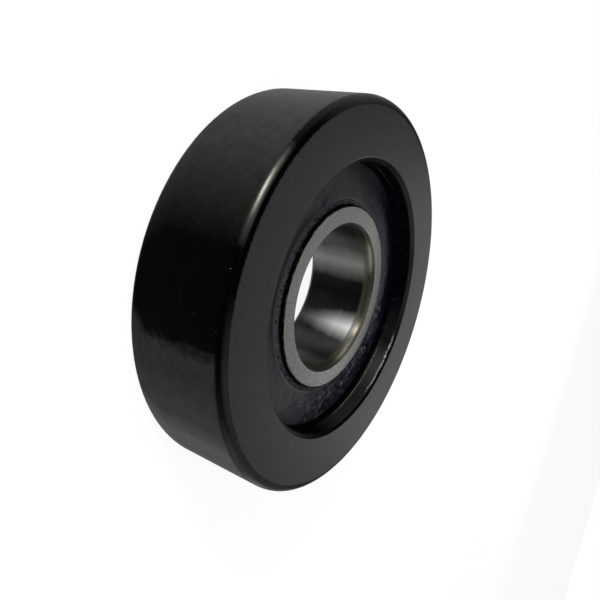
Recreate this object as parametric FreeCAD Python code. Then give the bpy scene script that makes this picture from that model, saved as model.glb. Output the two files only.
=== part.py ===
import FreeCAD, Part
import math
import os

# Sealed mast roller: a deep-groove ball bearing whose thick outer ring is the roller itself.
# It lies on the back face of the outer ring, with the deep front recess looking up.
# The axis is +Z, and the origin is the centre of the back face. Sizes are in millimetres.

# Rings
BORE_DIA = 45.0
INNER_WALL = 5.75              # from the bore to the bottom of the inner raceway
OUTER_WALL = 15.775            # from the bottom of the outer raceway to the tread, 120 across
CORNER_RADIUS = 2.5            # both edges of the tread
FRONT_RECESS = 5.5             # front face of the inner ring, below that of the outer ring
BACK_SETBACK = 0.5             # back face of the inner ring, above that of the outer ring
MOUTH_CHAMFER_RADIAL = 1.15    # edge of the front recess
MOUTH_CHAMFER_AXIAL = 1.25
RECESS_STEP = 0.25             # the recess wall stands back from the lip that holds the seal
BACK_EDGE_BREAK = 0.3
FRONT_CORNER = (1.2, 2.6)      # rounded corner of the bore, radial and axial size
BACK_CORNER = (0.6, 1.3)
LAND_EDGE_BREAK = 0.3

# Balls and raceways
BALL_DIA = 15.875
BALL_COUNT = 8
RACE_CLEARANCE = 0.05          # between a ball and the bottom of each raceway
RACE_RADIUS_RATIO = 0.52       # raceway radius over ball diameter
RACE_DEPTH_RATIO = 0.2         # raceway depth over ball diameter

# Cage, two pressed halves and their rivets
CAGE_SHEET = 1.2
CAGE_WIDTH = 8.0
CAGE_BEND_RADIUS = 0.8
POCKET_CLEARANCE = 0.1125
RIVET_SHANK_DIA = 2.4
RIVET_HEAD_DIA = 4.4
RIVET_HEAD_HEIGHT = 1.1
RIVET_CLEARANCE = 0.02

# Seals, a steel washer with rubber moulded on its outer side
CAGE_GAP = 0.25                # between the cage and the washer
WASHER_SHEET = 0.5
WASHER_FLANGE = 0.9            # outer edge, turned down towards the balls
WASHER_INSET = 1.9             # inner edge of the washer, outside the seal's lip
RUBBER_THICKNESS = 0.7
SEAL_RECESS = 1.8              # seal face below the face of the inner ring
SEAT_DEPTH = 2.15              # seal groove, into the outer ring from its shoulder
LIP_OVERHANG = 1.45            # how far the outer ring's lip reaches in over the seal
RIM_DROP = 0.35                # the rim under the lip, below the seal face
RIM_WIDTH = 2.15               # visible part of that rim
RIM_THICKNESS = 1.4
SEAL_CLEARANCE = 0.05          # round the rim in its groove
LAND_STEP = 2.725              # land for the seal's lip, below the inner ring's shoulder
LIP_GAP = 0.1                  # between the seal's lip and that land
LIP_LENGTH = 0.6
LIP_FLOOR_GAP = 0.2            # between the seal's lip and the step behind the land
BEAD_OFFSET = 0.7              # raised bead beside the lip
BEAD_WIDTH = 0.35
BEAD_HEIGHT = 0.4
BEAD_SLOPE = 0.55

# Radii that follow from the driving dimensions
BALL_RADIUS = BALL_DIA / 2
BORE_RADIUS = BORE_DIA / 2
RACE_RADIUS = RACE_RADIUS_RATIO * BALL_DIA
RACE_DEPTH = RACE_DEPTH_RATIO * BALL_DIA
RACE_HALF_WIDTH = math.sqrt(RACE_RADIUS**2 - (RACE_RADIUS - RACE_DEPTH)**2)
INNER_RACE = BORE_RADIUS + INNER_WALL
PITCH_RADIUS = INNER_RACE + RACE_CLEARANCE + BALL_RADIUS
OUTER_RACE = PITCH_RADIUS + BALL_RADIUS + RACE_CLEARANCE
TREAD_RADIUS = OUTER_RACE + OUTER_WALL
INNER_SHOULDER = INNER_RACE + RACE_DEPTH
OUTER_SHOULDER = OUTER_RACE - RACE_DEPTH
LAND_RADIUS = INNER_SHOULDER - LAND_STEP
GROOVE_RADIUS = OUTER_SHOULDER + SEAT_DEPTH
LIP_RADIUS = GROOVE_RADIUS - LIP_OVERHANG
RECESS_RADIUS = LIP_RADIUS + RECESS_STEP

# Heights above the plane of the balls, the same on both sides
POCKET_TOP = BALL_RADIUS + POCKET_CLEARANCE + CAGE_SHEET
WASHER_BOTTOM = POCKET_TOP + CAGE_GAP
WASHER_TOP = WASHER_BOTTOM + WASHER_SHEET
SEAL_FACE = WASHER_TOP + RUBBER_THICKNESS
RIM_TOP = SEAL_FACE - RIM_DROP
RIM_BOTTOM = RIM_TOP - RIM_THICKNESS
GROOVE_TOP = RIM_TOP + SEAL_CLEARANCE
GROOVE_BOTTOM = RIM_BOTTOM - SEAL_CLEARANCE
HALF_WIDTH = SEAL_FACE + SEAL_RECESS

# Heights above the back face
BALL_PLANE = BACK_SETBACK + HALF_WIDTH
INNER_FACE = BALL_PLANE + HALF_WIDTH
OUTER_FACE = INNER_FACE + FRONT_RECESS

AXIS = FreeCAD.Vector(0, 0, 1)
ORIGIN = FreeCAD.Vector(0, 0, 0)


def point(radius, height):
    return FreeCAD.Vector(radius, 0, height)


def turned(start, *steps):
    """Solid turned about the axis. A step is an end point, or a middle and an end point of an arc."""
    edges = []
    here = start
    for step in steps + (start,):
        if isinstance(step, tuple):
            middle, end = step
            edges.append(Part.Arc(here, middle, end).toShape())
        else:
            end = step
            edges.append(Part.makeLine(here, end))
        here = end
    return Part.Face(Part.Wire(edges)).revolve(ORIGIN, AXIS, 360)


def round_corner(centre, radius, first_angle):
    """Middle and end of a quarter circle that starts at the given angle, anticlockwise."""
    ends = []
    for angle in (first_angle + 45, first_angle + 90):
        turn = math.radians(angle)
        ends.append(centre + radius * point(math.cos(turn), math.sin(turn)))
    return tuple(ends)


def bore_corner(face_height, size, side):
    """Face end, middle and bore end of a corner that runs into the bore without an edge."""
    radial, axial = size
    radius = (radial**2 + axial**2) / (2 * radial)
    half_turn = math.asin(axial / radius) / 2
    bore_end = point(BORE_RADIUS, face_height - side * axial)
    centre = bore_end + point(radius, 0)
    middle = centre + radius * point(-math.cos(half_turn), side * math.sin(half_turn))
    return point(BORE_RADIUS + radial, face_height), middle, bore_end


def other_side(shape):
    """The same piece on the other side of the balls."""
    return shape.mirror(point(0, BALL_PLANE), AXIS)


def ball_angles():
    return [360.0 * index / BALL_COUNT for index in range(BALL_COUNT)]


def placed(shape, angle):
    """A copy of a piece that was made beside the +X axis, turned to its place in the row."""
    copy = shape.copy()
    copy.rotate(ORIGIN, AXIS, angle)
    return copy


def outer_ring():
    """Roller: rounded tread, front recess, raceway, and a groove and lip for each seal."""
    inset = TREAD_RADIUS - CORNER_RADIUS
    return turned(
        point(LIP_RADIUS + BACK_EDGE_BREAK, 0),
        point(inset, 0),
        round_corner(point(inset, CORNER_RADIUS), CORNER_RADIUS, -90),
        point(TREAD_RADIUS, OUTER_FACE - CORNER_RADIUS),
        round_corner(point(inset, OUTER_FACE - CORNER_RADIUS), CORNER_RADIUS, 0),
        point(RECESS_RADIUS + MOUTH_CHAMFER_RADIAL, OUTER_FACE),
        point(RECESS_RADIUS, OUTER_FACE - MOUTH_CHAMFER_AXIAL),
        point(RECESS_RADIUS, INNER_FACE),
        point(LIP_RADIUS, INNER_FACE),
        point(LIP_RADIUS, BALL_PLANE + GROOVE_TOP),
        point(GROOVE_RADIUS, BALL_PLANE + GROOVE_TOP),
        point(GROOVE_RADIUS, BALL_PLANE + GROOVE_BOTTOM),
        point(OUTER_SHOULDER, BALL_PLANE + GROOVE_BOTTOM),
        point(OUTER_SHOULDER, BALL_PLANE + RACE_HALF_WIDTH),
        (point(OUTER_RACE, BALL_PLANE), point(OUTER_SHOULDER, BALL_PLANE - RACE_HALF_WIDTH)),
        point(OUTER_SHOULDER, BALL_PLANE - GROOVE_BOTTOM),
        point(GROOVE_RADIUS, BALL_PLANE - GROOVE_BOTTOM),
        point(GROOVE_RADIUS, BALL_PLANE - GROOVE_TOP),
        point(LIP_RADIUS, BALL_PLANE - GROOVE_TOP),
        point(LIP_RADIUS, BACK_EDGE_BREAK),
    )


def inner_ring():
    """Bore with rounded corners, raceway between two shoulders, and a turned-down land for each seal."""
    back_end, back_middle, back_bore = bore_corner(BACK_SETBACK, BACK_CORNER, -1)
    front_end, front_middle, front_bore = bore_corner(INNER_FACE, FRONT_CORNER, 1)
    land_edge = LAND_RADIUS - LAND_EDGE_BREAK
    return turned(
        back_bore,
        (back_middle, back_end),
        point(land_edge, BACK_SETBACK),
        point(LAND_RADIUS, BACK_SETBACK + LAND_EDGE_BREAK),
        point(LAND_RADIUS, BALL_PLANE - GROOVE_BOTTOM),
        point(INNER_SHOULDER, BALL_PLANE - GROOVE_BOTTOM),
        point(INNER_SHOULDER, BALL_PLANE - RACE_HALF_WIDTH),
        (point(INNER_RACE, BALL_PLANE), point(INNER_SHOULDER, BALL_PLANE + RACE_HALF_WIDTH)),
        point(INNER_SHOULDER, BALL_PLANE + GROOVE_BOTTOM),
        point(LAND_RADIUS, BALL_PLANE + GROOVE_BOTTOM),
        point(LAND_RADIUS, INNER_FACE - LAND_EDGE_BREAK),
        point(land_edge, INNER_FACE),
        front_end,
        (front_middle, front_bore),
    )


def ball():
    return Part.makeSphere(BALL_RADIUS, point(PITCH_RADIUS, BALL_PLANE))


def cage_front():
    """Sheet ring pressed into a dome over each ball, flat between the balls and drilled there."""
    dome_radius = POCKET_TOP
    reach = dome_radius + 2 * CAGE_BEND_RADIUS
    plate = Part.makeCylinder(PITCH_RADIUS + reach, CAGE_SHEET, point(0, BALL_PLANE))
    domes = []
    pockets = []
    holes = []
    dome = Part.makeSphere(dome_radius, point(PITCH_RADIUS, BALL_PLANE), AXIS, 0, 90, 360)
    pocket = Part.makeSphere(BALL_RADIUS + POCKET_CLEARANCE, point(PITCH_RADIUS, BALL_PLANE))
    hole_radius = RIVET_SHANK_DIA / 2 + RIVET_CLEARANCE
    hole = Part.makeCylinder(hole_radius, CAGE_SHEET, point(PITCH_RADIUS, BALL_PLANE))
    for angle in ball_angles():
        domes.append(placed(dome, angle))
        pockets.append(placed(pocket, angle))
        holes.append(placed(hole, angle + 180.0 / BALL_COUNT))
    pressed = plate.fuse(domes).removeSplitter()
    pressed = pressed.makeFillet(CAGE_BEND_RADIUS, dome_feet(pressed))
    width = CAGE_WIDTH / 2
    band = Part.makeCylinder(PITCH_RADIUS + width, POCKET_TOP, point(0, BALL_PLANE))
    band = band.cut(Part.makeCylinder(PITCH_RADIUS - width, POCKET_TOP, point(0, BALL_PLANE)))
    return pressed.common(band).cut(pockets + holes)


def dome_feet(pressed):
    """Circles where the domes rise out of the sheet."""
    top = BALL_PLANE + CAGE_SHEET
    foot_length = 2 * math.pi * math.sqrt(POCKET_TOP**2 - CAGE_SHEET**2)
    feet = []
    for edge in pressed.Edges:
        if edge.Degenerated or edge.BoundBox.ZLength > 1e-4:
            continue
        if abs(edge.BoundBox.Center.z - top) < 1e-4 and abs(edge.Length - foot_length) < 1e-4:
            feet.append(edge)
    return feet


def cage_rivets():
    """One rivet through the flats between each two balls, with a domed head on both sides."""
    shank_radius = RIVET_SHANK_DIA / 2
    shank = Part.makeCylinder(shank_radius, 2 * CAGE_SHEET, point(PITCH_RADIUS, BALL_PLANE - CAGE_SHEET))
    head_radius = RIVET_HEAD_DIA / 2
    sphere_radius = (head_radius**2 + RIVET_HEAD_HEIGHT**2) / (2 * RIVET_HEAD_HEIGHT)
    seat = point(PITCH_RADIUS, BALL_PLANE + CAGE_SHEET)
    centre = seat + point(0, RIVET_HEAD_HEIGHT - sphere_radius)
    head = Part.makeSphere(sphere_radius, centre)
    head = head.common(Part.makeCylinder(head_radius, RIVET_HEAD_HEIGHT, seat))
    rivet = shank.fuse([head, other_side(head)])
    rivets = []
    for angle in ball_angles():
        rivets.append(placed(rivet, angle + 180.0 / BALL_COUNT))
    return Part.makeCompound(rivets)


def washer_edges():
    """Inner and outer radius of the seal's steel washer."""
    inner = LAND_RADIUS + LIP_GAP + WASHER_INSET
    outer = LIP_RADIUS - SEAL_CLEARANCE - RIM_DROP
    return inner, outer


def seal_washer_front():
    inner, outer = washer_edges()
    flange = outer - WASHER_SHEET
    return turned(
        point(inner, BALL_PLANE + WASHER_BOTTOM),
        point(flange, BALL_PLANE + WASHER_BOTTOM),
        point(flange, BALL_PLANE + WASHER_TOP - WASHER_FLANGE),
        point(outer, BALL_PLANE + WASHER_TOP - WASHER_FLANGE),
        point(outer, BALL_PLANE + WASHER_TOP),
        point(inner, BALL_PLANE + WASHER_TOP),
    )


def seal_rubber_front():
    """Flat face over the washer, rim in the outer ring's groove, bead and lip at the inner ring."""
    washer_inner, washer_outer = washer_edges()
    lip = LAND_RADIUS + LIP_GAP
    lip_bottom = BALL_PLANE + GROOVE_BOTTOM + LIP_FLOOR_GAP
    face = BALL_PLANE + SEAL_FACE
    bead_inner = lip + BEAD_OFFSET
    bead_outer = bead_inner + BEAD_WIDTH
    rim_inner = LIP_RADIUS - RIM_WIDTH
    rim_outer = GROOVE_RADIUS - SEAL_CLEARANCE
    return turned(
        point(lip, lip_bottom),
        point(washer_inner, BALL_PLANE + WASHER_BOTTOM),
        point(washer_inner, BALL_PLANE + WASHER_TOP),
        point(washer_outer, BALL_PLANE + WASHER_TOP),
        point(washer_outer, BALL_PLANE + RIM_BOTTOM),
        point(rim_outer, BALL_PLANE + RIM_BOTTOM),
        point(rim_outer, BALL_PLANE + RIM_TOP),
        point(rim_inner, BALL_PLANE + RIM_TOP),
        point(rim_inner - RIM_DROP, face),
        point(bead_outer + BEAD_SLOPE, face),
        point(bead_outer, face + BEAD_HEIGHT),
        point(bead_inner, face + BEAD_HEIGHT),
        point(lip, lip_bottom + LIP_LENGTH),
    )


def build():
    """Every piece by its name."""
    front_cage = cage_front()
    front_washer = seal_washer_front()
    front_rubber = seal_rubber_front()
    pieces = {
        "outer_ring": outer_ring(),
        "inner_ring": inner_ring(),
        "cage_front": front_cage,
        "cage_back": other_side(front_cage),
        "cage_rivets": cage_rivets(),
        "seal_washer_front": front_washer,
        "seal_washer_back": other_side(front_washer),
        "seal_rubber_front": front_rubber,
        "seal_rubber_back": other_side(front_rubber),
    }
    for number, angle in enumerate(ball_angles(), start=1):
        pieces[f"ball_{number}"] = placed(ball(), angle)
    return pieces


os.makedirs("parts", exist_ok=True)
for name, shape in build().items():
    shape.exportStep(f"parts/{name}.step")
    print(f"{name}: {len(shape.Solids)} solid(s), {shape.Volume:.1f} mm3, valid {shape.isValid()}")
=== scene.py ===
import math

import bpy
from mathutils import Matrix, Vector, noise


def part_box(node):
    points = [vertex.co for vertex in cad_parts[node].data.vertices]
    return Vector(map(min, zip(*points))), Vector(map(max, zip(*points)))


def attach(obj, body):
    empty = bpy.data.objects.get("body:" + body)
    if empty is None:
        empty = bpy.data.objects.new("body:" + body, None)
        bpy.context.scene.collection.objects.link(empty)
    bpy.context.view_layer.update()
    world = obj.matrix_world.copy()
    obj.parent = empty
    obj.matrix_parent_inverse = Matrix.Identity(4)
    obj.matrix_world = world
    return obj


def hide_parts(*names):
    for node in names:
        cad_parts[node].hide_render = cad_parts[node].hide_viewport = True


# The bearing lies on its back face and the camera looks down on it, turned so that it appears on edge.
MM = 0.001

CAMERA_PLACE = Vector((3.78, -155.29, 106.14)) * MM
CAMERA_RIGHT = Vector((-0.28256, 0.49611, 0.82099))
CAMERA_UP = Vector((-0.95925, -0.14614, -0.24184))
CAMERA_BACK = Vector((0.0, -0.85587, 0.51719))
FOCAL_LENGTH = 33.85
SENSOR_WIDTH = 36.0

FLOOR_REACH = 30.0
FLOOR_COLOR = (0.93, 0.93, 0.93)
FLOOR_GLOW = 0.90              # share of the floor's white that its own shadow can't darken
HORIZON_STRENGTH = 1.0
ZENITH_STRENGTH = 0.45
HORIZON_BAND = (0.045, 0.38)    # sine of the elevation where the sky starts and ends to darken
FLAG_PLACE = (120, 28)         # azimuth and elevation of the dark panel that the top of the face mirrors
FLAG_EDGE = (0.895, 0.975)      # cosines of the angle from its middle where its soft edge starts and ends
FLAG_STRENGTH = 0.05

# Softboxes by name: azimuth and elevation in degrees, distance, width and height in metres, radiance
LIGHTS = {
    "strip": (-130, 18, 0.9, 0.14, 0.30, 66.0),
    "left": (-168, 16, 1.0, 0.75, 0.50, 6.0),
    "right": (-6, 14, 1.0, 0.80, 0.50, 6.4),
    "back": (91, 19, 1.1, 0.72, 0.22, 3.75),
    "top": (-92, 62, 1.1, 0.70, 0.50, 1.6),
}
LIGHT_TARGET = Vector((0.0, 0.0, 15.0)) * MM

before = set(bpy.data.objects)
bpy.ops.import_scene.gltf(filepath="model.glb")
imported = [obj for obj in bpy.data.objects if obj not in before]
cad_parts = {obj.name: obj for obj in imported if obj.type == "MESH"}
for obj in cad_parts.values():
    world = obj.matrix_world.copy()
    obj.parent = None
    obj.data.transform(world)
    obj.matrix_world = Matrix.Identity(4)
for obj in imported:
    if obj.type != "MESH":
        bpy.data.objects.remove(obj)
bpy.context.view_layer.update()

OUTER_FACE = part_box("outer_ring")[1].z / MM
TREAD_RADIUS = 60.0
FACE_EDGE = 57.5               # where the outer ring's face meets the tread's corner
MOUTH_RADIUS = 43.15           # outer edge of the front recess
LAND_EDGE = 28.45              # outer edge of the inner ring's face
BORE_RADIUS = 22.5
BORE_CORNER = 23.7             # outer edge of the bore's front corner
CORNER_FOOT = 22.9             # height where that corner ends in the bore

# Depths under the outer ring's face: recess wall with polish and a painted highlight, painted highlight
# lines at the mouth's chamfer and at the foot of the wall
WALL_BAND = (0.75, 5.45)
MOUTH_BAND = (0.78, 1.18)
FOOT_BAND = (4.86, 5.08)

# Stretches round an axis: middle and half width in degrees, softness of the ends, strength
# Paler stretches of the tread: painted sheen on the front, dry patches at the back
TREAD_DRY_AND_SHEEN = [(-138, 31, 14, 0.37), (-145, 9, 12, 0.26), (-36, 32, 1.8, 0.31), (-39, 4.5, 4.5, 0.66),
             (-50, 6, 5, 0.15), (62, 26, 8, 0.3), (138, 16, 4, 0.25)]
# Painted light on the tread's corner
CORNER_PAINTED_SHEEN = [(-50, 24, 10, 0.9), (120, 40, 12, 0.6)]
CORNER_PAINTED_LIGHT = [(-26, 20, 8, 1.0), (-156, 16, 10, 0.9)]
# Polish from handling, paler and more reflective where a lamp's highlight should fall: partly a painted
# highlight
EDGE_POLISH_AND_GLINT = [(-107, 9.5, 4.5, 1.0), (-24, 5, 4, 0.5), (48, 9, 5, 0.7), (150, 12, 6, 0.6)]
WALL_POLISH_AND_GLINT = [(63, 6, 8, 0.65), (44, 26, 8, 0.20), (82, 10, 8, 0.12), (-52, 14, 7, 0.6), (-140, 10, 6, 0.5)]
# Painted highlights: bright broken lines at the mouth's chamfer and at the foot of the recess wall
MOUTH_GLINTS = [(59, 9, 5, 0.5), (73, 6, 4, 0.9), (-60, 16, 6, 1.0)]
FOOT_GLINTS = [(52, 22, 5, 0.6), (177, 11, 7, 0.30), (-60, 16, 6, 0.6)]
# Painted light: paler chamfer and rim of the mouth, and a painted highlight just outside the rim
MOUTH_LIT = [(114, 24, 10, 0.6), (152, 20, 10, 1.0), (-30, 20, 6, 0.6)]
RIM_LIT = [(150, 45, 10, 0.8)]
RIM_BRIGHT = [(-154, 15, 10, 0.9)]
WALL_BLUE = [(140, 60, 20, 1.0)]
RING_PALE = [(-112, 50, 25, 0.5)]
# Painted reflections in the bore: a dark stretch, a glint and bright stretches
BORE_DARK = [(98, 11, 9, 0.9)]
BORE_GLINT = [(68.5, 5.5, 9, 1.0)]
BORE_REFLECTIONS = [(126, 9, 8, 0.47), (148, 10, 6, 0.12), (46, 8, 5, 0.06), (14, 10, 6, 0.25),
              (-24, 9, 5, 0.5), (-72, 7, 4, 0.9), (-118, 12, 6, 0.4), (-163, 8, 5, 0.6)]

SEAL_GREASE = [(56, 48, 18, 0.95), (-86, 3, 6, 0.2), (165, 12, 14, 0.25)]
# Painted light on the seal where the wall shades it
SEAL_PAINTED_LIGHT = [(116, 46, 16, 0.6), (82, 18, 12, 0.6)]
# Painted shade at the seal's outer rim, beside the wall
SEAL_RIM_SHADE = [(122, 42, 18, 1.0), (46, 34, 14, 0.8)]
# Painted shade in the gap beside the inner ring
GAP_RAGGED = [(-84, 62, 24, 2.0)]

# Radii between which the marks on a seal fade
BEAD_BAND = (29.5, 31.0)
PAINTED_LIGHT_FADE = (34.0, 37.0)
GREASE_FADE = (31.5, 35.0)
RIM_SHADE_FADE = (35.8, 38.2)
GAP_FADE = (29.2, 29.6)

# Section of a seal, radius and height, anticlockwise from the tip of the lip
SEAL_OUTLINE = [(28.80, 22.10), (30.70, 22.50), (30.70, 23.00), (41.35, 23.00), (41.35, 21.95),
                (43.15, 21.95), (43.15, 23.35), (41.60, 23.35), (41.35, 23.70), (30.40, 23.70),
                (29.85, 24.20), (29.10, 24.30), (28.85, 24.05), (28.80, 22.70)]
SEAL_STEPS = 900
SEAL_SHOWN = 23.2              # above this height the section has rounded corners and close points
SEAL_ROUNDING = 0.12
SEAL_SPACING = 0.25
BEAD_EDGE = 30.6               # up to this radius the points are closer still
BEAD_SPACING = 0.1

# Unevenness of a seal's face, in mm; waves are rows of noise scale and height
FACE_INNER, FACE_OUTER = 29.0, 41.4
FACE_WAVES = [(0.09, 0.05), (0.5, 0.02)]
CRUMPLE_SCALE, CRUMPLE_DEPTH = 0.22, 0.03
BEAD_MIDDLE, BEAD_HALF, BEAD_SINK = 29.6, 0.9, 0.08
BEAD_WAVES = [(0.6, 0.30), (1.7, 0.44), (2.9, 0.25)]
# Folds in plan: radius and angle of the start, radius and angle of the end
SEAL_FOLDS = [(33.4, -143, 30.2, -135), (37.5, 14, 31.5, 20), (36.0, 96, 33.0, 101),
              (38.5, -70, 36.0, -62), (35.0, 168, 31.5, 160), (37.0, -12, 33.5, -5)]
FOLD_RIDGE = (0.18, 0.5, 0.35)  # height, distance from the fold's line, width
FOLD_DIP = (0.22, 0.0, 0.3)
BALL_PLANE = (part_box("ball_1")[0].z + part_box("ball_1")[1].z) / 2 / MM

# Colours as linear red, green and blue
OXIDE = {
    "oil": (0.0001, 0.0001, 0.0001),
    "thin oil": (0.0005, 0.0005, 0.0004),
    # paler stretches of the tread: dry patches and painted sheen
    "dry_and_sheen": (0.0400, 0.0425, 0.0380),
    "blue oil": (0.0004, 0.0006, 0.0013),
    "blue scratch": (0.0050, 0.0058, 0.0085),
    "rub": (0.045, 0.047, 0.042),
    # painted light on the edges
    "edge": (0.0135, 0.0145, 0.0140),
    "face": (0.0165, 0.0180, 0.0175),
    "pale face": (0.0215, 0.0232, 0.0225),
    "cloud": (0.030, 0.031, 0.029),
    "pore": (0.008, 0.008, 0.008),
    # painted highlight
    "bright rim": (0.050, 0.053, 0.051),
    # polish and painted highlight
    "polish_and_glint": (0.036, 0.038, 0.033),
    # bare metal of chips, and painted highlight lines
    "chip": (0.30, 0.30, 0.28),
    "dust": (0.10, 0.10, 0.095),
}
STEEL = {
    "ground": (0.050, 0.051, 0.046),
    "pale ground": (0.128, 0.129, 0.120),
    "palest ground": (0.160, 0.161, 0.151),
    "pit": (0.05, 0.05, 0.045),
    # the bore's painted dark reflection, in three depths
    "oil": (0.010, 0.011, 0.010),
    "thin oil": (0.022, 0.023, 0.021),
    "darkest reflection": (0.0052, 0.0054, 0.0052),
    # the bore's painted bright reflection
    "painted_reflection": (0.46, 0.46, 0.45),
    "straw": (0.072, 0.068, 0.048),
    "dark straw": (0.047, 0.044, 0.032),
    # the land's grease and painted shade
    "grease": (0.003, 0.003, 0.004),
    "crumb": (0.060, 0.062, 0.064),
    "ball": (0.60, 0.60, 0.60),
    "pale ball": (0.72, 0.72, 0.71),
    "sheet": (0.34, 0.34, 0.33),
    "pale sheet": (0.48, 0.48, 0.46),
}
RUBBER = {
    "moulded": (0.0120, 0.0133, 0.0155),
    "pale": (0.0175, 0.0190, 0.0216),
    # painted light
    "painted_light": (0.050, 0.053, 0.060),
    "grease": (0.0022, 0.0026, 0.0075),
    "smear": (0.078, 0.083, 0.095),
    # painted shade
    "rim": (0.0018, 0.0021, 0.0045),
    # painted shade in the gap
    "gap_shade": (0.001, 0.001, 0.0013),
    "crumb": (0.040, 0.041, 0.042),
}


class Nodes:
    """Short calls that add shader nodes to one material and link them. Each material calls its own n."""

    def __init__(self, name):
        self.material = bpy.data.materials.new(name)
        self.material.use_nodes = True
        self.tree = self.material.node_tree
        self.tree.nodes.clear()
        output = self.tree.nodes.new("ShaderNodeOutputMaterial")
        self.shader = self.tree.nodes.new("ShaderNodeBsdfPrincipled")
        self.tree.links.new(self.shader.outputs["BSDF"], output.inputs["Surface"])
        coordinates = self.tree.nodes.new("ShaderNodeTexCoord")
        scale = self.tree.nodes.new("ShaderNodeVectorMath")
        scale.operation = "SCALE"
        self.tree.links.new(coordinates.outputs["Object"], scale.inputs[0])
        scale.inputs["Scale"].default_value = 1 / MM
        self.place = scale.outputs["Vector"]
        parts = self.tree.nodes.new("ShaderNodeSeparateXYZ")
        self.tree.links.new(self.place, parts.inputs[0])
        self.x, self.y, self.z = parts.outputs

    def put(self, socket, value):
        """Links another socket, or sets a number or a colour."""
        if isinstance(value, bpy.types.NodeSocket):
            self.tree.links.new(value, socket)
        elif socket.type == "RGBA":
            socket.default_value = (*value, 1)
        else:
            socket.default_value = value

    def math(self, operation, a, b=0.0, c=0.0):
        node = self.tree.nodes.new("ShaderNodeMath")
        node.operation = operation
        for socket, value in zip(node.inputs, (a, b, c)):
            self.put(socket, value)
        return node.outputs[0]

    def product(self, first, *others):
        for value in others:
            first = self.math("MULTIPLY", first, value)
        return first

    def band(self, value, low, high, soft):
        """1 between low and high, 0 outside, with soft edges."""
        rise = self.range(value, low - soft, low + soft, 0, 1)
        fall = self.range(value, high - soft, high + soft, 1, 0)
        return self.math("MULTIPLY", rise, fall)

    def range(self, value, from_low, from_high, to_low, to_high):
        node = self.tree.nodes.new("ShaderNodeMapRange")
        node.clamp = True
        for socket, number in zip(node.inputs, (value, from_low, from_high, to_low, to_high)):
            self.put(socket, number)
        return node.outputs[0]

    def radius(self):
        squares = self.math("MULTIPLY_ADD", self.x, self.x, self.product(self.y, self.y))
        return self.math("SQRT", squares)

    def stretches(self, rows, wander=0.0):
        """Sum of stretches round the axis, whose ends wander by the given degrees."""
        radius = self.radius()
        total = 0.0
        for middle, half, soft, strength in rows:
            turn = math.radians(middle)
            across = self.product(self.y, math.sin(turn))
            along = self.math("MULTIPLY_ADD", self.x, math.cos(turn), across)
            away = self.math("ARCCOSINE", self.math("DIVIDE", along, radius))
            away = self.math("MULTIPLY_ADD", away, 180 / math.pi, wander)
            here = self.range(away, half - soft, half + soft, strength, 0)
            total = self.math("ADD", total, here)
        return total

    def vector(self, x, y, z):
        node = self.tree.nodes.new("ShaderNodeCombineXYZ")
        for socket, value in zip(node.inputs, (x, y, z)):
            self.put(socket, value)
        return node.outputs[0]

    def noise(self, scale, detail=4.0, roughness=0.55, vector=None):
        node = self.tree.nodes.new("ShaderNodeTexNoise")
        self.put(node.inputs["Vector"], self.place if vector is None else vector)
        node.inputs["Scale"].default_value = scale
        node.inputs["Detail"].default_value = detail
        node.inputs["Roughness"].default_value = roughness
        return node.outputs["Fac"]

    def strands(self, across):
        """Noise drawn out round the axis; across is the other coordinate, radius or height."""
        angle = self.math("ARCTAN2", self.y, self.x)
        vector = self.vector(self.product(angle, 14.0), self.product(across, 1.8), 0.0)
        return self.noise(1.0, 4.0, 0.65, vector)

    def lines(self, value, scale, detail):
        """Noise that changes with one value only, such as the lines that a tool leaves."""
        node = self.tree.nodes.new("ShaderNodeTexNoise")
        node.noise_dimensions = "1D"
        self.put(node.inputs["W"], value)
        node.inputs["Scale"].default_value = scale
        node.inputs["Detail"].default_value = detail
        return node.outputs["Fac"]

    def specks(self, scale, size, share):
        """1 in small round dots, of which only the given share of cells has one."""
        node = self.tree.nodes.new("ShaderNodeTexVoronoi")
        self.put(node.inputs["Vector"], self.place)
        node.inputs["Scale"].default_value = scale
        parts = self.tree.nodes.new("ShaderNodeSeparateColor")
        self.tree.links.new(node.outputs["Color"], parts.inputs[0])
        near = self.range(node.outputs["Distance"], size * 0.6, size, 1, 0)
        chosen = self.math("LESS_THAN", parts.outputs[0], share)
        return self.math("MULTIPLY", near, chosen)

    def mix(self, factor, first, second):
        node = self.tree.nodes.new("ShaderNodeMix")
        node.data_type = "RGBA"
        for index, value in ((0, factor), (6, first), (7, second)):
            self.put(node.inputs[index], value)
        return node.outputs[2]

    def mix_number(self, factor, first, second):
        node = self.tree.nodes.new("ShaderNodeMix")
        for index, value in ((0, factor), (2, first), (3, second)):
            self.put(node.inputs[index], value)
        return node.outputs[0]

    def bump(self, height, strength, distance, normal=None):
        node = self.tree.nodes.new("ShaderNodeBump")
        node.inputs["Strength"].default_value = strength
        node.inputs["Distance"].default_value = distance
        self.put(node.inputs["Height"], height)
        if normal is not None:
            self.put(node.inputs["Normal"], normal)
        return node.outputs["Normal"]

    def finish(self, color, roughness, normal=None, metallic=0.0, specular=0.5, anisotropy=0.0):
        shader = self.shader
        self.put(shader.inputs["Base Color"], color)
        self.put(shader.inputs["Roughness"], roughness)
        self.put(shader.inputs["Metallic"], metallic)
        shader.inputs["Specular IOR Level"].default_value = specular
        if normal is not None:
            self.put(shader.inputs["Normal"], normal)
        if anisotropy:
            shader.inputs["Anisotropic"].default_value = anisotropy
            shader.inputs["Anisotropic Rotation"].default_value = 0.25
            tangent = self.tree.nodes.new("ShaderNodeTangent")
            tangent.direction_type = "RADIAL"
            tangent.axis = "Z"
            self.put(shader.inputs["Tangent"], tangent.outputs[0])
        return self.material


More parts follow.
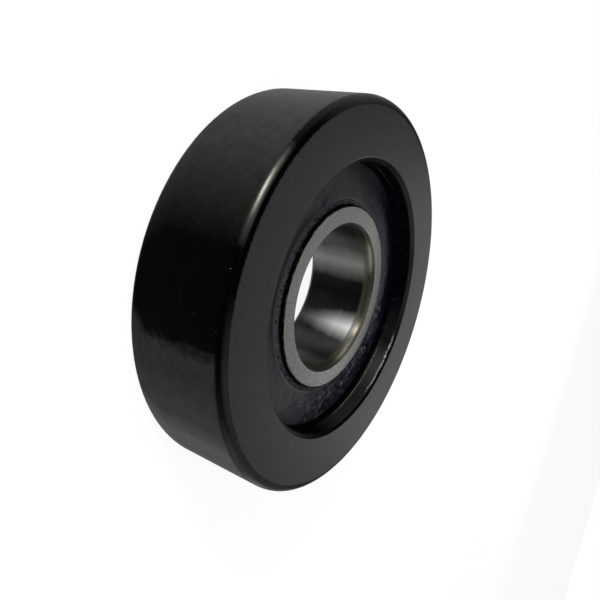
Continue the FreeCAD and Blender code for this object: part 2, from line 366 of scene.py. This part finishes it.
def black_oxide():
    """Outer ring: tread ground and oiled black with dry patches and painted sheen, a duller turned face,
    polished edges and painted highlights.
    """
    n = Nodes("black_oxide")
    radius = n.radius()
    depth = n.math("SUBTRACT", OUTER_FACE, n.z)
    profile = n.math("ADD", radius, n.z)
    patches = n.noise(0.05, 4.0, 0.6)
    cloud = n.noise(0.35, 6.0, 0.65)
    grain = n.noise(2.2, 5.0, 0.6)
    ragged = n.range(grain, 0.25, 0.75, -1, 1)
    fine_lines = n.lines(profile, 9.0, 4.0)
    broad_lines = n.lines(profile, 1.1, 3.0)
    ends = n.range(n.noise(0.5, 6.0, 0.65), 0.25, 0.75, -1.6, 1.6)

    # Zones
    tread = n.range(radius, TREAD_RADIUS - 0.2, TREAD_RADIUS - 0.02, 0, 1)
    outside = n.range(radius, FACE_EDGE - 0.1, FACE_EDGE + 0.3, 0, 1)
    corner = n.product(outside, n.math("SUBTRACT", 1.0, tread))
    recess = n.range(radius, MOUTH_RADIUS, MOUTH_RADIUS + 0.1, 1, 0)
    face = n.range(n.math("MULTIPLY_ADD", ragged, 0.05, depth), 0.02, 0.10, 1, 0)
    face = n.product(face, n.range(radius, MOUTH_RADIUS, MOUTH_RADIUS + 0.1, 0, 1))
    frayed = n.math("MULTIPLY_ADD", ragged, 0.5, radius)
    face = n.product(face, n.range(frayed, FACE_EDGE - 0.2, FACE_EDGE + 0.1, 1, 0))

    # Oiled black, paler on parts of the tread as dry patches and as painted sheen, and bluish on a part of
    # the recess wall
    skew = n.math("ADD", ends, n.range(n.z, 1.5, 7, -6, 0))
    dry_and_sheen = n.product(n.stretches(TREAD_DRY_AND_SHEEN, skew), n.range(cloud, 0.3, 0.7, 0.82, 1.15),
                    n.range(fine_lines, 0.3, 0.7, 0.96, 1.04), n.range(broad_lines, 0.35, 0.65, 0.93, 1.06))
    oiled = n.mix(patches, OXIDE["oil"], OXIDE["thin oil"])
    color = n.mix(n.product(dry_and_sheen, tread), oiled, OXIDE["dry_and_sheen"])
    oblique = n.vector(n.math("MULTIPLY_ADD", n.z, 0.6, n.x), n.y, n.product(n.z, 0.2))
    scratches = n.range(n.noise(0.9, 5.0, 0.7, oblique), 0.56, 0.66, 0, 1)
    blue = n.mix(scratches, OXIDE["blue oil"], OXIDE["blue scratch"])
    color = n.mix(n.product(recess, n.stretches(WALL_BLUE, ends)), color, blue)
    rubs = n.range(n.lines(n.z, 0.8, 5.0), 0.56, 0.70, 0, 1)
    rubs = n.product(rubs, n.range(cloud, 0.40, 0.65, 0, 1), tread, n.math("MULTIPLY_ADD", dry_and_sheen, 0.15, 0.01))
    color = n.mix(rubs, color, OXIDE["rub"])

    # Paler edges, painted light: the tread's corner, the mouth's chamfer and its rim are lightened where
    # light should catch them
    edge = n.product(n.range(depth, 0.08, 0.75, 1, 0), n.stretches(CORNER_PAINTED_SHEEN, ends))
    edge = n.product(n.math("MAXIMUM", edge, n.stretches(CORNER_PAINTED_LIGHT, ends)), corner)
    chamfer = n.product(recess, n.range(depth, 1.0, 1.3, 1, 0), n.stretches(MOUTH_LIT, ends))
    rim = n.band(radius, MOUTH_RADIUS - 0.14, MOUTH_RADIUS + 0.02, 0.03)
    rim = n.product(rim, n.stretches(RIM_LIT, ends))
    color = n.mix(n.math("ADD", edge, n.math("ADD", chamfer, rim)), color, OXIDE["edge"])

    # Turned face
    dull = n.mix(patches, OXIDE["face"], OXIDE["pale face"])
    dull = n.mix(n.range(cloud, 0.35, 0.65, 0, 0.35), dull, OXIDE["cloud"])
    dull = n.mix(n.range(grain, 0.40, 0.62, 0.25, 0), dull, OXIDE["pore"])
    # Painted highlight: a bright line just outside the mouth's rim
    bright = n.band(radius, MOUTH_RADIUS + 0.05, MOUTH_RADIUS + 0.45, 0.08)
    bright = n.product(bright, n.stretches(RIM_BRIGHT, ends), n.range(grain, 0.35, 0.6, 0.4, 1))
    dull = n.mix(bright, dull, OXIDE["bright rim"])
    color = n.mix(face, color, dull)

    # Polished by handling, and paler and more reflective where a lamp's highlight should fall, partly a
    # painted highlight: the tread's corner and the recess wall
    polish_and_glint = n.product(corner, n.range(depth, 0.35, 0.7, 0, 1), n.range(depth, 1.2, 1.8, 1, 0.5),
                       n.stretches(EDGE_POLISH_AND_GLINT, ends))
    wall = n.product(recess, n.band(depth, *WALL_BAND, 0.15), n.stretches(WALL_POLISH_AND_GLINT, ends))
    polish_and_glint = n.math("MAXIMUM", polish_and_glint, wall)
    color = n.mix(polish_and_glint, color, OXIDE["polish_and_glint"])

    # Bare metal chips on the tread's corner; painted highlights as bright broken lines at the mouth and at
    # the foot of the recess wall; and dust
    chips_and_glints = n.product(corner, n.specks(1.3, 0.17, 0.03), 0.45)
    wavy = n.math("MULTIPLY_ADD", ragged, 0.10, depth)
    wavy = n.math("ADD", wavy, n.range(n.noise(0.2, 2.0), 0.3, 0.7, -0.18, 0.18))
    breaks = n.range(n.noise(1.5, 4.0, 0.7), 0.44, 0.52, 0.05, 1)
    mouth = n.product(n.band(wavy, *MOUTH_BAND, 0.12), breaks, n.stretches(MOUTH_GLINTS, ends))
    foot = n.product(n.band(wavy, *FOOT_BAND, 0.08), n.range(grain, 0.42, 0.60, 0.1, 0.6))
    foot = n.product(foot, n.stretches(FOOT_GLINTS, ends))
    painted_light = n.product(n.math("MAXIMUM", mouth, foot), recess)
    chips_and_glints = n.math("MAXIMUM", chips_and_glints, painted_light)
    color = n.mix(chips_and_glints, color, OXIDE["chip"])
    color = n.mix(n.product(n.specks(0.9, 0.10, 0.05), 0.4), color, OXIDE["dust"])

    metallic = n.math("MAXIMUM", n.math("MAXIMUM", polish_and_glint, chips_and_glints), n.product(face, 0.45))
    roughness = n.mix_number(tread, n.mix_number(face, 0.33, 0.42), 0.40)
    roughness = n.mix_number(recess, roughness, 0.40)
    roughness = n.math("ADD", roughness, n.range(grain, 0.3, 0.7, -0.03, 0.04))
    normal = n.bump(grain, 0.08, 0.00006)
    normal = n.bump(fine_lines, 0.05, 0.00002, normal)
    normal = n.bump(broad_lines, 0.08, 0.00004, normal)
    return n.finish(color, roughness, normal, metallic=metallic, specular=0.01, anisotropy=0.4)


def ground_steel():
    """Inner ring: ground face, honed bore with painted bright and dark reflections, straw-coloured corner,
    land black with grease and painted shade.
    """
    n = Nodes("ground_steel")
    radius = n.radius()
    mottle = n.noise(1.1, 6.0, 0.75)
    stain = n.noise(0.16, 3.0, 0.5)
    rings = n.lines(radius, 7.0, 4.0)
    bands = n.lines(n.z, 3.0, 4.0)

    # Ground face with pits and scuffs
    color = n.mix(n.range(mottle, 0.40, 0.60, 0, 1), STEEL["ground"], STEEL["pale ground"])
    color = n.mix(n.stretches(RING_PALE), color, STEEL["palest ground"])
    pits = n.math("MAXIMUM", n.specks(2.6, 0.30, 0.16), n.specks(1.2, 0.16, 0.10))
    pits = n.math("MAXIMUM", pits, n.range(n.noise(0.7, 3.0, 0.8), 0.62, 0.68, 0, 0.6))
    color = n.mix(n.product(pits, 0.55), color, STEEL["pit"])

    # Bore with painted reflections: bright stretches, one wide, slanting painted glint and dark stretches;
    # and its straw-coloured corner
    bore = n.range(radius, BORE_RADIUS + 0.02, BORE_RADIUS + 0.10, 1, 0)
    ends = n.range(n.lines(n.z, 0.22, 2.0), 0.3, 0.7, -1.2, 1.2)
    slant = n.math("ADD", ends, n.range(n.z, 3, 24, 6.0, -3.0))
    glint = n.product(n.stretches(BORE_GLINT, slant), n.range(n.z, 3, 15, 0.25, 1.0))
    painted_reflection = n.math("ADD", glint, n.stretches(BORE_REFLECTIONS, ends))
    painted_reflection = n.product(painted_reflection, n.range(bands, 0.3, 0.7, 0.90, 1.08))
    dark_reflection = n.mix(n.range(stain, 0.35, 0.65, 0, 1), STEEL["oil"], STEEL["thin oil"])
    dark_reflection = n.mix(n.stretches(BORE_DARK, ends), dark_reflection, STEEL["darkest reflection"])
    color = n.mix(bore, color, n.mix(painted_reflection, dark_reflection, STEEL["painted_reflection"]))
    straw = n.product(bore, n.range(n.z, CORNER_FOOT - 1.1, CORNER_FOOT - 0.3, 0, 0.85))
    color = n.mix(straw, color, STEEL["straw"])
    corner = n.band(radius, BORE_RADIUS + 0.06, BORE_CORNER - 0.05, 0.05)
    corner = n.product(corner, n.range(n.z, BALL_PLANE, BALL_PLANE + 1, 0, 1))
    color = n.mix(n.product(corner, 0.9), color, STEEL["dark straw"])

    # Land black with grease and painted shade, and crumbs
    land = n.range(radius, LAND_EDGE - 0.02, LAND_EDGE + 0.08, 0, 1)
    crumbs = n.range(n.strands(n.z), 0.53, 0.60, 0, 1)
    color = n.mix(land, color, n.mix(crumbs, STEEL["grease"], STEEL["crumb"]))

    roughness = n.math("ADD", n.range(mottle, 0.3, 0.7, 0.32, 0.38), n.product(bore, 0.10))
    normal = n.bump(rings, 0.10, 0.00002)
    normal = n.bump(mottle, 0.10, 0.00003, normal)
    normal = n.bump(n.product(bands, bore), 0.10, 0.00002, normal)
    return n.finish(color, roughness, normal, metallic=1.0, anisotropy=0.6)


def seal_rubber():
    """Moulded rubber, greasy in places, with painted light on the bead and under the wall, painted shade at
    the outer rim, and black painted shade with crumbs beside the inner ring.
    """
    n = Nodes("seal_rubber")
    radius = n.radius()
    film = n.noise(0.22, 5.0, 0.65)
    grain = n.noise(3.0, 4.0, 0.6)
    ends = n.range(film, 0.3, 0.7, -8, 8)
    color = n.mix(n.range(film, 0.35, 0.65, 0, 1), RUBBER["moulded"], RUBBER["pale"])

    # Painted light: paler under the wall's shade and on the bead
    painted_light = n.product(n.stretches(SEAL_PAINTED_LIGHT, ends), n.range(radius, *PAINTED_LIGHT_FADE, 1, 0))
    bead = n.product(n.band(radius, *BEAD_BAND, 0.3), 0.75)
    color = n.mix(n.math("MAXIMUM", painted_light, bead), color, RUBBER["painted_light"])

    greasy = n.stretches(SEAL_GREASE, n.range(film, 0.3, 0.7, -12, 12))
    grease = n.range(n.noise(0.7, 5.0, 0.7), 0.45, 0.60, 0, 1)
    smeared = n.mix(grease, RUBBER["grease"], RUBBER["smear"])
    color = n.mix(n.product(greasy, n.range(radius, *GREASE_FADE, 0.35, 1)), color, smeared)

    # Painted shade at the outer rim, next to the wall
    frayed = n.math("MULTIPLY_ADD", n.range(film, 0.3, 0.7, -1, 1), 1.6, radius)
    rim = n.product(n.range(frayed, *RIM_SHADE_FADE, 0, 1), n.stretches(SEAL_RIM_SHADE, ends))
    color = n.mix(rim, color, RUBBER["rim"])

    # Painted shade: black in the gap beside the inner ring, with crumbs
    strands = n.range(n.strands(radius), 0.3, 0.7, -1, 1)
    reach = n.math("ADD", n.stretches(GAP_RAGGED), 0.6)
    gap_shade = n.range(n.math("MULTIPLY_ADD", strands, reach, radius), *GAP_FADE, 1, 0)
    crumbs = n.range(n.noise(1.6, 4.0, 0.7), 0.50, 0.58, 0, 1)
    color = n.mix(gap_shade, color, n.mix(crumbs, RUBBER["gap_shade"], RUBBER["crumb"]))

    roughness = n.range(film, 0.4, 0.65, 0.42, 0.30)
    normal = n.bump(grain, 0.15, 0.00008)
    normal = n.bump(n.product(grease, greasy), 0.5, 0.0003, normal)
    return n.finish(color, roughness, normal, specular=0.05)


def polished_steel():
    n = Nodes("polished_steel")
    stain = n.noise(0.3, 3.0)
    color = n.mix(stain, STEEL["ball"], STEEL["pale ball"])
    return n.finish(color, n.range(stain, 0.3, 0.7, 0.07, 0.12), metallic=1.0)


def sheet_steel():
    n = Nodes("sheet_steel")
    stain = n.noise(0.5, 4.0)
    color = n.mix(stain, STEEL["sheet"], STEEL["pale sheet"])
    return n.finish(color, n.range(stain, 0.3, 0.7, 0.32, 0.42), n.bump(stain, 0.1, 0.00005), metallic=1.0)


def toward(start, end, distance):
    """The point at this distance from the start, but never past 0.4 of the way."""
    share = min(0.4, distance / math.dist(start, end))
    return tuple(a + (b - a) * share for a, b in zip(start, end))


def seal_section():
    """Outline of a seal, with rounded corners and close points on the side that shows."""
    corners = []
    earlier = SEAL_OUTLINE[-1:] + SEAL_OUTLINE[:-1]
    later = SEAL_OUTLINE[1:] + SEAL_OUTLINE[:1]
    for before, here, after in zip(earlier, SEAL_OUTLINE, later):
        if here[1] < SEAL_SHOWN:
            corners.append(here)
            continue
        first, last = toward(here, before, SEAL_ROUNDING), toward(here, after, SEAL_ROUNDING)
        middle = tuple(a / 4 + b / 2 + c / 4 for a, b, c in zip(first, here, last))
        corners += [first, middle, last]
    points = []
    for here, after in zip(corners, corners[1:] + corners[:1]):
        count = 1
        if min(here[1], after[1]) > SEAL_SHOWN:
            spacing = BEAD_SPACING if here[0] < BEAD_EDGE else SEAL_SPACING
            count = math.ceil(math.dist(here, after) / spacing)
        for index in range(count):
            points.append(tuple(a + (b - a) * index / count for a, b in zip(here, after)))
    return points


def plan(radius, angle):
    turn = math.radians(angle)
    return Vector((radius * math.cos(turn), radius * math.sin(turn), 0))


def waves(spot, rows):
    return sum(height * noise.noise(spot * scale) for scale, height in rows)


def bell(distance, height, middle, width):
    return height * math.exp(-((distance - middle) / width)**2)


def seal_unevenness(place, seed):
    """How far the seal's face stands off its true form, in mm: waves, crumples, an uneven bead and folds."""
    spot = place + Vector((0, 0, seed))
    crumple = abs(noise.noise(spot * CRUMPLE_SCALE + Vector((7, 3, 0))))
    bead = max(0.0, 1 - abs(math.hypot(place.x, place.y) - BEAD_MIDDLE) / BEAD_HALF)
    height = waves(spot, FACE_WAVES) - CRUMPLE_DEPTH * crumple
    height += bead * (waves(spot, BEAD_WAVES) - BEAD_SINK)
    for start_radius, start_angle, end_radius, end_angle in SEAL_FOLDS:
        start, end = plan(start_radius, start_angle), plan(end_radius, end_angle)
        along = (place - start).dot(end - start) / (end - start).length_squared
        if -0.2 < along < 1.2:
            near = start + (end - start) * along
            away = (place - near).length + 0.35 * noise.noise(spot * 0.8)
            fade = max(0.0, 1 - abs(along - 0.5) / 0.7)
            height += fade * (bell(away, *FOLD_RIDGE) - bell(away, *FOLD_DIP))
    return height


def seal_skin(name, node, side):
    """Rubber of one seal, turned from its section, with the small unevenness of a moulded face."""
    section = seal_section()
    vertices = []
    for step in range(SEAL_STEPS):
        for radius, height in section:
            place = plan(radius, 360 * step / SEAL_STEPS)
            if height > SEAL_SHOWN and FACE_INNER < radius < FACE_OUTER:
                height += seal_unevenness(place, 40 * side) * min(1.0, (radius - FACE_INNER) / 0.4)
            place.z = BALL_PLANE + side * (height - BALL_PLANE)
            vertices.append(place * MM)
    count = len(section)
    faces = []
    for step in range(SEAL_STEPS):
        here, there = step * count, (step + 1) % SEAL_STEPS * count
        for index in range(count):
            after = (index + 1) % count
            face = (here + index, there + index, there + after, here + after)
            faces.append(face if side < 0 else face[::-1])
    mesh = bpy.data.meshes.new(name)
    mesh.from_pydata(vertices, [], faces)
    mesh.polygons.foreach_set("use_smooth", [True] * len(mesh.polygons))
    skin = bpy.data.objects.new(name, mesh)
    bpy.context.scene.collection.objects.link(skin)
    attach(skin, "roller")
    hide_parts(node)
    return skin


def dress(material, *names):
    """Puts a material on CAD nodes."""
    for name in names:
        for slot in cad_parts[name].material_slots:
            slot.material = material


def add_camera():
    data = bpy.data.cameras.new("camera")
    data.lens = FOCAL_LENGTH
    data.sensor_width = SENSOR_WIDTH
    data.clip_start = 0.005
    camera = bpy.data.objects.new("camera", data)
    turn = Matrix((CAMERA_RIGHT, CAMERA_UP, CAMERA_BACK)).transposed().to_4x4()
    camera.matrix_world = Matrix.Translation(CAMERA_PLACE) @ turn
    bpy.context.scene.collection.objects.link(camera)
    bpy.context.scene.camera = camera


def direction(azimuth, elevation):
    turn, lift = math.radians(azimuth), math.radians(elevation)
    return Vector((math.cos(lift) * math.cos(turn), math.cos(lift) * math.sin(turn), math.sin(lift)))


def add_softbox(name, azimuth, elevation, distance, width, height, radiance):
    data = bpy.data.lights.new(name, "AREA")
    data.shape = "RECTANGLE"
    data.size = width
    data.size_y = height
    data.energy = radiance * width * height * math.pi
    lamp = bpy.data.objects.new(name, data)
    outward = direction(azimuth, elevation)
    turn = outward.to_track_quat("Z", "Y").to_matrix().to_4x4()
    lamp.matrix_world = Matrix.Translation(LIGHT_TARGET + outward * distance) @ turn
    bpy.context.scene.collection.objects.link(lamp)


def seen_rays(tree):
    """1 for the rays that see the background: from the camera, mirrored or through glass."""
    rays = tree.nodes.new("ShaderNodeLightPath")
    seen = rays.outputs["Is Camera Ray"]
    for kind in ("Is Glossy Ray", "Is Transmission Ray"):
        node = tree.nodes.new("ShaderNodeMath")
        node.operation = "MAXIMUM"
        tree.links.new(seen, node.inputs[0])
        tree.links.new(rays.outputs[kind], node.inputs[1])
        seen = node.outputs[0]
    return seen


def add_floor():
    """Pale floor that takes the object's shadow, with a share of plain white for the rays that see it."""
    mesh = bpy.data.meshes.new("floor")
    corners = [(x * FLOOR_REACH, y * FLOOR_REACH, 0) for x, y in ((-1, -1), (1, -1), (1, 1), (-1, 1))]
    mesh.from_pydata(corners, [], [(0, 1, 2, 3)])
    floor = bpy.data.objects.new("floor", mesh)
    bpy.context.scene.collection.objects.link(floor)
    material = bpy.data.materials.new("floor")
    material.use_nodes = True
    tree = material.node_tree
    tree.nodes.clear()
    output = tree.nodes.new("ShaderNodeOutputMaterial")
    paint = tree.nodes.new("ShaderNodeBsdfDiffuse")
    paint.inputs["Color"].default_value = (*FLOOR_COLOR, 1)
    glow = tree.nodes.new("ShaderNodeEmission")
    share = tree.nodes.new("ShaderNodeMath")
    share.operation = "MULTIPLY"
    share.inputs[1].default_value = FLOOR_GLOW
    blend = tree.nodes.new("ShaderNodeMixShader")
    tree.links.new(seen_rays(tree), share.inputs[0])
    tree.links.new(share.outputs[0], blend.inputs[0])
    tree.links.new(paint.outputs[0], blend.inputs[1])
    tree.links.new(glow.outputs[0], blend.inputs[2])
    tree.links.new(blend.outputs[0], output.inputs["Surface"])
    mesh.materials.append(material)


def add_sky():
    """White near the horizon, darker above, like a studio with pale walls, and one dark panel."""
    world = bpy.data.worlds.new("sky")
    world.use_nodes = True
    bpy.context.scene.world = world
    tree = world.node_tree
    background = tree.nodes["Background"]
    background.inputs["Color"].default_value = (1, 1, 1, 1)
    coordinates = tree.nodes.new("ShaderNodeTexCoord")
    parts = tree.nodes.new("ShaderNodeSeparateXYZ")
    tree.links.new(coordinates.outputs["Generated"], parts.inputs[0])
    strength = tree.nodes.new("ShaderNodeMapRange")
    tree.links.new(parts.outputs[2], strength.inputs[0])
    limits = (*HORIZON_BAND, HORIZON_STRENGTH, ZENITH_STRENGTH)
    for socket, value in zip(strength.inputs[1:5], limits):
        socket.default_value = value
    cosine = tree.nodes.new("ShaderNodeVectorMath")
    cosine.operation = "DOT_PRODUCT"
    tree.links.new(coordinates.outputs["Generated"], cosine.inputs[0])
    cosine.inputs[1].default_value = direction(*FLAG_PLACE)
    flag = tree.nodes.new("ShaderNodeMapRange")
    tree.links.new(cosine.outputs["Value"], flag.inputs[0])
    for socket, value in zip(flag.inputs[1:5], (*FLAG_EDGE, 1.0, FLAG_STRENGTH)):
        socket.default_value = value
    product = tree.nodes.new("ShaderNodeMath")
    product.operation = "MULTIPLY"
    tree.links.new(strength.outputs[0], product.inputs[0])
    tree.links.new(flag.outputs[0], product.inputs[1])
    tree.links.new(product.outputs[0], background.inputs["Strength"])


dress(black_oxide(), "outer_ring")
dress(ground_steel(), "inner_ring")
rubber = seal_rubber()
dress(rubber, "seal_rubber_front", "seal_rubber_back")
seal_skin("seal_skin_front", "seal_rubber_front", 1).data.materials.append(rubber)
seal_skin("seal_skin_back", "seal_rubber_back", -1).data.materials.append(rubber)
dress(polished_steel(), *[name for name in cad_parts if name.startswith("ball_")])
dress(sheet_steel(), "cage_front", "cage_back", "cage_rivets", "seal_washer_front", "seal_washer_back")

add_camera()
for light, values in LIGHTS.items():
    add_softbox(light, *values)
add_floor()
add_sky()
bpy.context.scene.view_settings.view_transform = "Standard"
